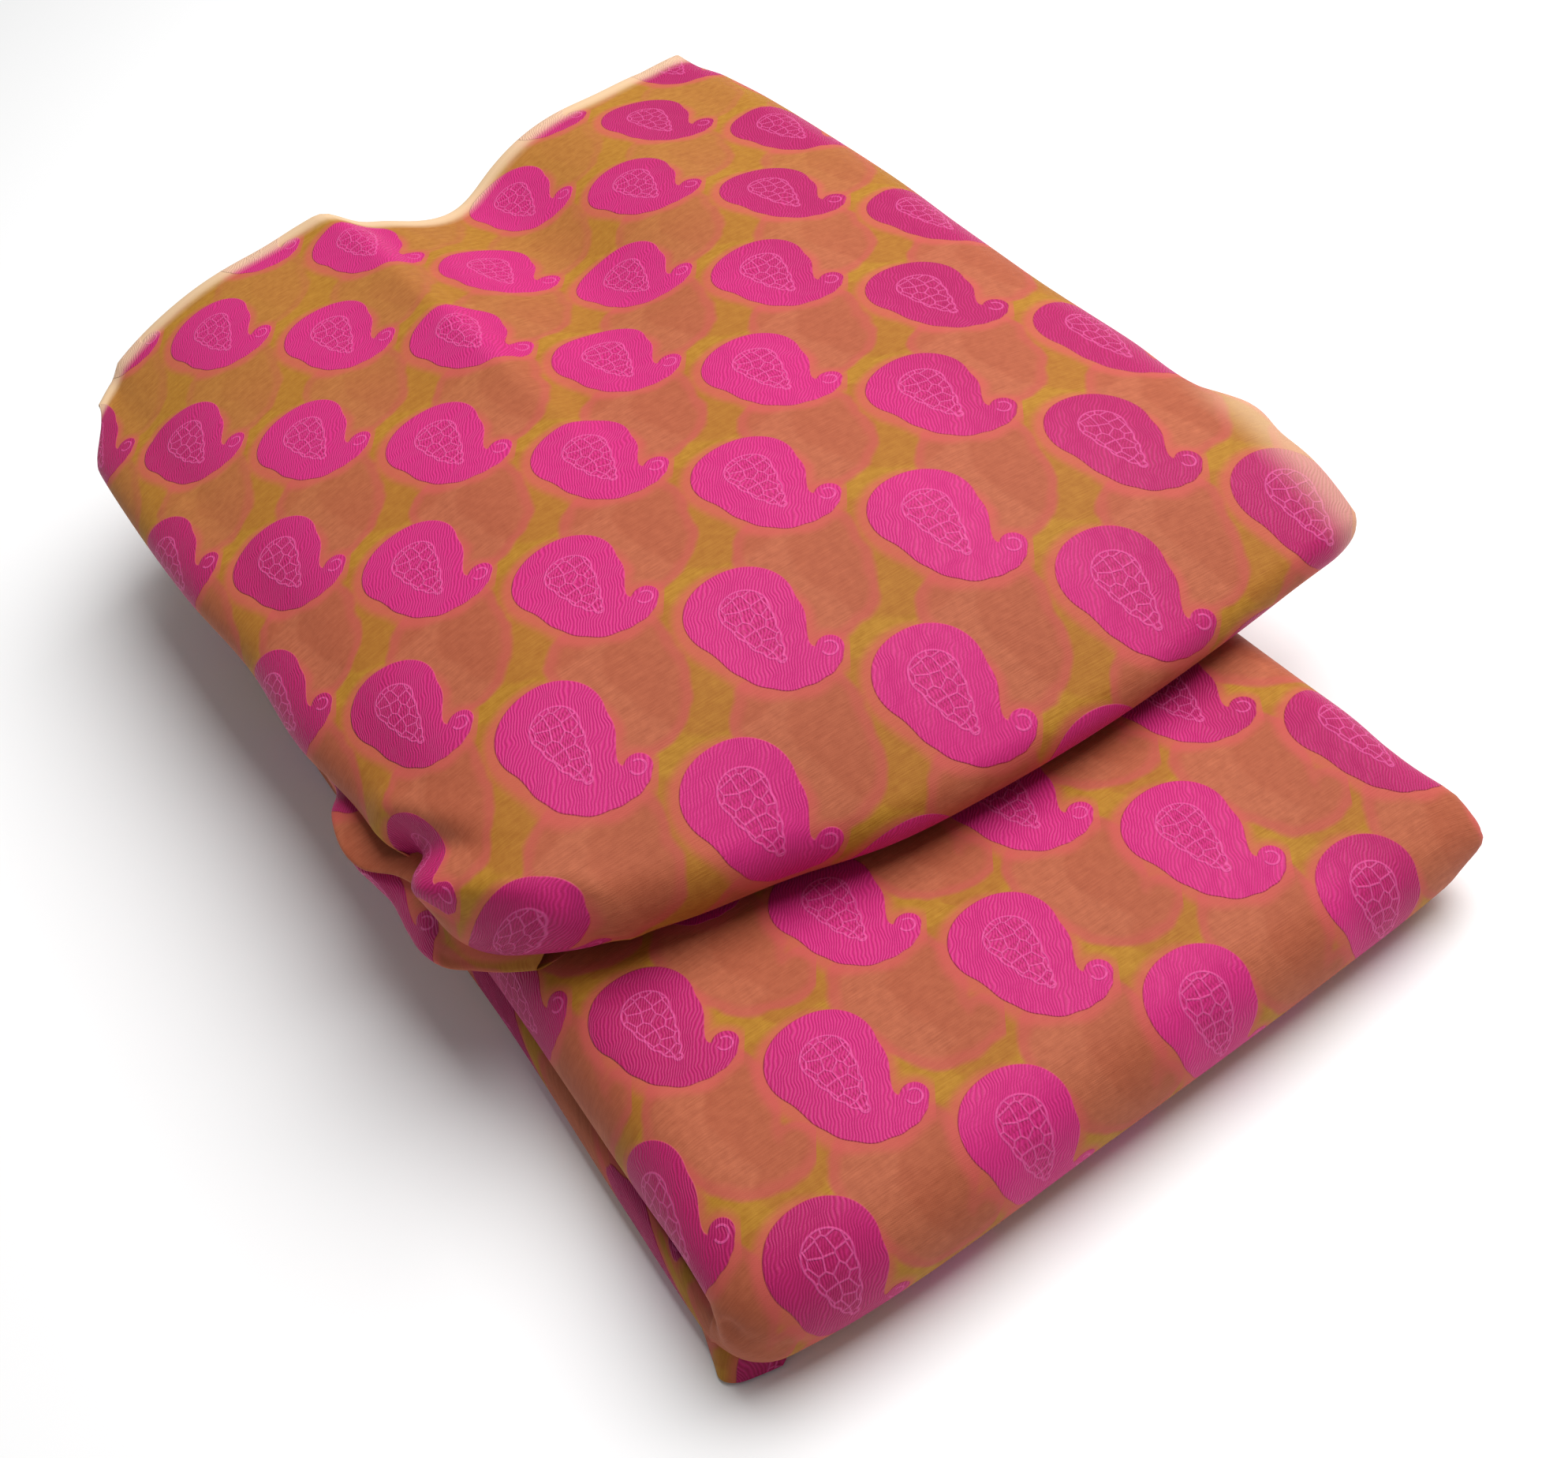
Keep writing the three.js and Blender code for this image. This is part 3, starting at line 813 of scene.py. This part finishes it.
def make_weave():
    """Diagonal ribs of the figured parts and the fine plain weave of the ground."""
    tree, given, result = new_group(
        "weave", {"Chart": ("Vector", None), "Rib": ("Float", 0.95), "Yarn": ("Float", 0.5)},
        {
            "Ribs": "Float", "Plain": "Float", "Slubs": "Float", "Mottle": "Float",
            "Drift": "Float",
        },
    )
    bent = calc(tree, "MULTIPLY", noise(tree, given["Chart"], 0.09, 2), RIB_WANDER)
    flat = put(tree, "SeparateXYZ", given["Chart"])
    slope = calc(
        tree, "SUBTRACT", calc(tree, "MULTIPLY", flat.outputs[0], RIB_SLOPE[0]),
        calc(tree, "MULTIPLY", flat.outputs[1], RIB_SLOPE[1]))
    phase = calc(tree, "DIVIDE", calc(tree, "ADD", slope, bent), given["Rib"])
    ribs = calc(tree, "SINE", calc(tree, "MULTIPLY", phase, 2 * math.pi))
    tree.links.new(calc(tree, "MULTIPLY_ADD", ribs, 0.5, 0.5), result["Ribs"])
    turns = calc(tree, "DIVIDE", 2 * math.pi, given["Yarn"])
    warp = calc(tree, "SINE", calc(tree, "MULTIPLY", flat.outputs[0], turns))
    weft = calc(tree, "SINE", calc(tree, "MULTIPLY", flat.outputs[1], turns))
    plain = calc(tree, "MULTIPLY_ADD", calc(tree, "MULTIPLY", warp, weft), 0.5, 0.5)
    tree.links.new(plain, result["Plain"])
    long = put(tree, "VectorMath", given["Chart"], SLUB_STRETCH, operation="MULTIPLY")
    tree.links.new(noise(tree, long.outputs[0], 1.0, 3), result["Slubs"])
    tree.links.new(noise(tree, given["Chart"], 0.35, 5), result["Mottle"])
    tree.links.new(noise(tree, given["Chart"], 0.08, 1.5), result["Drift"])
    return tree


REPEAT = make_repeat()
PAISLEY_GROUP = make_paisley()
FRUIT_GROUP = make_fruit()
WEAVE = make_weave()


def place_group(tree, group, **values):
    """The outputs of a shader group placed with these inputs."""
    node = tree.nodes.new("ShaderNodeGroup")
    node.node_tree = group
    for words, value in values.items():
        socket = node.inputs[words]
        if isinstance(value, bpy.types.NodeSocket):
            tree.links.new(value, socket)
        else:
            socket.default_value = value
    return node.outputs


# Colours of the cloth
OCHRE_DEEP = colour("#A06A1A")
OCHRE_PALE = colour("#B9842C")
SALMON_DEEP = colour("#A4563A")
SALMON_PALE = colour("#BE6A4A")
RUSSET = colour("#9A4429")
RING_PINK = colour("#BE544A")
HALO_PINK = colour("#C85650")
MAGENTA = colour("#D62C80")
# CRIMSON is the ribs' and veins' own colour and also the painted shade of the figure at the sides.
CRIMSON = colour("#A0174F")
LINE_PINK = colour("#EA62A6")
SHEER_BEIGE = colour("#E8C8A2")


# How strongly each part of the pattern and of the relief is mixed in
DEEP_PLY = 0.3
RING = 0.5
HALO = 0.7
VEINS = 0.6
DRAWN_LINES = 0.5
PALE_RIM = 0.85
RELIEF = {"body": 0.2, "ribs": 0.12, "lines": 0.12, "plain": 0.02, "slubs": 0.1}
WOBBLE = 4.0             # mm by which the shapes of the plies beneath stray
DEEP_SHIFT = (14, -8)    # of the second ply beneath, against the first


def banarasi(name, ghost_shift, ghost_flip, ghost_grown):
    """The cloth: magenta paisleys on an ochre ground, the plies beneath showing through. The
    ghost values place the paisley of the ply beneath and say how far it spreads, in mm."""
    material = bpy.data.materials.new(name)
    material.use_nodes = True
    tree = material.node_tree
    surface = tree.nodes["Principled BSDF"]
    chart = put(tree, "UVMap", uv_map="sheet")
    millimetres = put(
        tree, "VectorMath", chart.outputs[0], (1000, 1000, 0), operation="MULTIPLY")
    flat = millimetres.outputs[0]
    weave = place_group(tree, WEAVE, Chart=flat)
    own = place_group(tree, REPEAT, Chart=flat)["Place"]
    paisley = place_group(tree, PAISLEY_GROUP, Place=own, Softness=WOVEN)
    fruit = place_group(tree, FRUIT_GROUP, Place=own)
    wobble = calc(tree, "MULTIPLY", calc(tree, "SUBTRACT", weave["Drift"], 0.5), WOBBLE)
    ghost_place = place_group(
        tree, REPEAT, Chart=flat, Shift=(*ghost_shift, 0), Flip=ghost_flip)["Place"]
    ghost = place_group(tree, PAISLEY_GROUP, Place=ghost_place, Softness=BLURRED)
    ghost_edge = calc(tree, "SUBTRACT", ghost["Distance"], ghost_grown)
    ghost_edge = calc(tree, "ADD", ghost_edge, wobble)
    seen = put(tree, "Attribute", attribute_name="ghosting").outputs["Fac"]
    rim = put(tree, "Attribute", attribute_name="rim").outputs["Fac"]
    # Painted shade: the turned attribute darkens the figure at the sides of each tier, as if turned
    # from the light.
    turned = put(tree, "Attribute", attribute_name="turned").outputs["Fac"]

    tone = calc(tree, "MULTIPLY_ADD", weave["Slubs"], 1.2, -0.6)
    tone = calc(tree, "ADD", weave["Mottle"], tone)
    ground = blend(tree, tone, OCHRE_DEEP, OCHRE_PALE)
    salmon = blend(tree, tone, SALMON_DEEP, SALMON_PALE)
    ghost_body = calc(tree, "MULTIPLY", band(tree, ghost_edge, 1.0, -1.0), seen)
    ghosted = blend(tree, ghost_body, ground, salmon)
    deep_shift = (ghost_shift[0] + DEEP_SHIFT[0], ghost_shift[1] + DEEP_SHIFT[1], 0)
    deep_place = place_group(tree, REPEAT, Chart=flat, Shift=deep_shift, Flip=-ghost_flip)["Place"]
    deep_ply = place_group(tree, PAISLEY_GROUP, Place=deep_place, Softness=BLURRED)
    deep_edge = calc(tree, "MULTIPLY_ADD", wobble, -1.0, deep_ply["Distance"])
    deep_body = calc(tree, "MULTIPLY", band(tree, deep_edge, 2.5, -0.5), DEEP_PLY)
    ghosted = blend(tree, calc(tree, "MULTIPLY", deep_body, seen), ghosted, RUSSET)
    ring = calc(
        tree, "MULTIPLY", band(tree, ghost_edge, 1.2, -0.8), band(tree, ghost_edge, -4.6, -1.6))
    ring = calc(tree, "MULTIPLY", calc(tree, "MULTIPLY", ring, RING), seen)
    ringed = blend(tree, ring, ghosted, RING_PINK)
    halo_edge = calc(tree, "SUBTRACT", paisley["Halo"], 2.4)
    halo_edge = calc(tree, "MULTIPLY_ADD", wobble, 0.2, halo_edge)
    halo = calc(tree, "MULTIPLY", band(tree, halo_edge, 2.4, -1.6), HALO)
    haloed = blend(tree, halo, ringed, HALO_PINK)
    # Painted shade: turned makes the ribs stronger and mixes the figure towards crimson at the
    # sides.
    rib_contrast_with_painted_shade = calc(tree, "MULTIPLY_ADD", turned, 0.35, 0.5)
    figure = blend(tree, calc(tree, "MULTIPLY", weave["Ribs"], rib_contrast_with_painted_shade), MAGENTA, CRIMSON)
    figure = blend(tree, calc(tree, "MULTIPLY", turned, 0.5), figure, CRIMSON)
    veined = blend(tree, calc(tree, "MULTIPLY", fruit["Veins"], VEINS), figure, CRIMSON)
    drawn = calc(tree, "MAXIMUM", fruit["Lines"], paisley["Curl"])
    lined = blend(tree, calc(tree, "MULTIPLY", drawn, DRAWN_LINES), veined, LINE_PINK)
    body = band(tree, paisley["Distance"], 0.25, -0.25)
    cloth_colour = blend(tree, body, haloed, lined)
    paled = blend(tree, calc(tree, "MULTIPLY", rim, PALE_RIM), cloth_colour, SHEER_BEIGE)
    tree.links.new(paled, surface.inputs["Base Color"])

    ribs = calc(tree, "MULTIPLY", weave["Ribs"], body)
    lines = calc(tree, "MULTIPLY", drawn, body)
    relief = calc(tree, "MULTIPLY", body, RELIEF["body"])
    relief = calc(tree, "MULTIPLY_ADD", ribs, RELIEF["ribs"], relief)
    relief = calc(tree, "MULTIPLY_ADD", lines, RELIEF["lines"], relief)
    relief = calc(tree, "MULTIPLY_ADD", weave["Plain"], RELIEF["plain"], relief)
    relief = calc(tree, "MULTIPLY_ADD", weave["Slubs"], RELIEF["slubs"], relief)
    bump = put(tree, "Bump")
    bump.inputs["Strength"].default_value = 1.0
    bump.inputs["Distance"].default_value = 0.001
    tree.links.new(relief, bump.inputs["Height"])
    tree.links.new(bump.outputs[0], surface.inputs["Normal"])
    rough = calc(tree, "MULTIPLY_ADD", body, -0.18, 0.68)
    tree.links.new(rough, surface.inputs["Roughness"])
    surface.inputs["Specular IOR Level"].default_value = 0.2
    surface.inputs["Sheen Weight"].default_value = 0.03
    surface.inputs["Sheen Roughness"].default_value = 0.4
    return material


UPPER_CLOTH = banarasi("upper_cloth", (25.5, 10.0), -1.0, 2.2)
LOWER_CLOTH = banarasi("lower_cloth", (31.0, 9.0), 1.0, 2.6)

# Steps along each wrap: its tuck, and its cover, its nose and the run beneath.
TUCK_STEPS = 2 * BACK_TUCK["steps"]
UPPER_STEPS = (150, 18, 60)
LOWER_STEPS = (120, 24, 60)
upper_points = pressed(wrap(UPPER, *UPPER_STEPS), UPPER_PLEATS)
lower_points = pressed(wrap(LOWER, *LOWER_STEPS), LOWER_PLEATS)
side_points = hand_shaped([side_section(row) for row in UPPER_SIDE], 60, 120)
flap_points = hand_shaped([(row["top"], row["belly"], row["hem"]) for row in CORNER_FLAP], 24, 60)
upper_chart = chart_of(upper_points, TUCK_STEPS, TUCK_STEPS + UPPER_STEPS[0], (91, 68))
upper_chart = slipped(upper_points, upper_chart)
LOWER_SCALE = 0.935      # of the repeat on the lower tier against the upper one
lower_chart = chart_of(
    lower_points, TUCK_STEPS, TUCK_STEPS + LOWER_STEPS[0], (67.5, -92)) / LOWER_SCALE


BACK_FADE = 0.75         # how much less the ply beneath shows at the back
FRONT_RIM = 0.55         # strength of the paler single ply at the right


def seen_through(points):
    """How strongly the ply beneath shows, less towards the back of the upper tier."""
    return 1 - BACK_FADE * eased(points[:, :, 1], 120, 330)


def back_rim(points, columns):
    """1 at the single ply of the back fold, fading within a few millimetres."""
    walked = lengths(points, 1)
    fold = walked[:, columns:columns + 1]
    return 1 - eased(np.abs(walked - fold), 3, 10)


def front_rim(points):
    """The paler single ply along the right edge, behind the front corner."""
    x, y = points[:, :, 0], points[:, :, 1]
    return FRONT_RIM * eased(x, 284, 299) * eased(y, 34, 8) * eased(y, -58, -48)


def plain_chart(points, u, v):
    """The chart of a plain ply, walked from its first corner, which lies at u, v."""
    return np.stack([u - lengths(points, 0), v - lengths(points, 1)], -1)


def painted_side_shade(points, left, right):
    """Painted shade: 1 towards the left and right sides, where the figure is painted darker crimson,
    as cloth turned away from the light looks.
    """
    x = points[:, :, 0]
    return np.maximum(eased(x, *left), eased(x, *right))


def marks(points, rim=0, left=(55, 8), right=(195, 262)):
    """What the cloth's shader reads at each point of a ply."""
    return {
        "ghosting": seen_through(points), "rim": rim + 0 * points[:, :, 0],
        # turned: painted shade that darkens the figure towards the sides.
        "turned": painted_side_shade(points, left, right),
    }


# Where the painted side shade rises on the lower tier, at its left and at its right.
LOWER_SIDE_SHADE = {"left": (75, 30), "right": (200, 238)}

# Every ply of the cloth: its places, its chart, its cloth, its flat size in metres and what
# it lies on.
upper_inner = inner_runs(UPPER, UPPER_FOLDS, 44, 26)
lower_inner = inner_runs(LOWER, LOWER_FOLDS, 40, 26)
PLIES = rows(
    "name points chart marks cloth flat rests_on",
    ("lower_cover", lower_points, lower_chart, marks(lower_points, **LOWER_SIDE_SHADE), LOWER_CLOTH,
     (0.277, 0.926), ("folded_cloth",)),
    ("lower_inner_runs", lower_inner, plain_chart(lower_inner, 90, 60), marks(lower_inner),
     LOWER_CLOTH, (0.215, 1.55), ("lower_cover",)),
    ("corner_flap", flap_points, plain_chart(flap_points, 12, 60), marks(flap_points),
     LOWER_CLOTH, (0.02, 0.05), ("lower_cover",)),
    ("upper_cover", upper_points, upper_chart,
     marks(upper_points, back_rim(upper_points, TUCK_STEPS) + front_rim(upper_points)),
     UPPER_CLOTH, (0.332, 0.825), ("lower_cover",)),
    ("upper_inner_runs", upper_inner, plain_chart(upper_inner, 90, 60), marks(upper_inner),
     UPPER_CLOTH, (0.259, 2.1), ("upper_cover",)),
    ("side_ply", side_points, plain_chart(side_points, 12, 60), marks(side_points), UPPER_CLOTH,
     (0.045, 0.14), ("lower_cover",)),
)
for ply in PLIES:
    piece = sheet_piece(ply["name"], ply["points"], ply["chart"], SHEET_THICKNESS, ply["marks"])
    piece.data.materials.append(ply["cloth"])
    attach(piece, "root")
    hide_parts("folded_cloth")


# Studio: a plain white floor, one large soft light above on the right and a pale surround

FLOOR_WHITE = (0.98, 0.98, 0.98, 1)
FLOOR_ROUGHNESS = 0.9
FLOOR_HALF = 3           # metres
AMBIENT = 0.22           # strength of the pale surround

floor = bpy.data.objects.new("floor", bpy.data.meshes.new("floor"))
slab = bmesh.new()
bmesh.ops.create_grid(slab, x_segments=1, y_segments=1, size=FLOOR_HALF)
slab.to_mesh(floor.data)
slab.free()
bpy.context.scene.collection.objects.link(floor)
white = bpy.data.materials.new("white_floor")
white.use_nodes = True
white.node_tree.nodes["Principled BSDF"].inputs["Base Color"].default_value = FLOOR_WHITE
white.node_tree.nodes["Principled BSDF"].inputs["Roughness"].default_value = FLOOR_ROUGHNESS
floor.data.materials.append(white)

world = bpy.data.worlds.new("studio")
bpy.context.scene.world = world
world.use_nodes = True
world.node_tree.nodes["Background"].inputs["Color"].default_value = (1, 1, 1, 1)
world.node_tree.nodes["Background"].inputs["Strength"].default_value = AMBIENT


def soft_light(name, place, size, power):
    """A square light that shines on the cloth."""
    lamp = bpy.data.lights.new(name, "AREA")
    lamp.shape = "SQUARE"
    lamp.size = size
    lamp.energy = power
    light = bpy.data.objects.new(name, lamp)
    light.location = place
    light.rotation_euler = (-Vector(place)).to_track_quat("-Z", "Y").to_euler()
    bpy.context.scene.collection.objects.link(light)


soft_light("key_light", (0.7, 0.02, 1.45), 1.5, 37)
bpy.context.scene.view_settings.view_transform = "Standard"
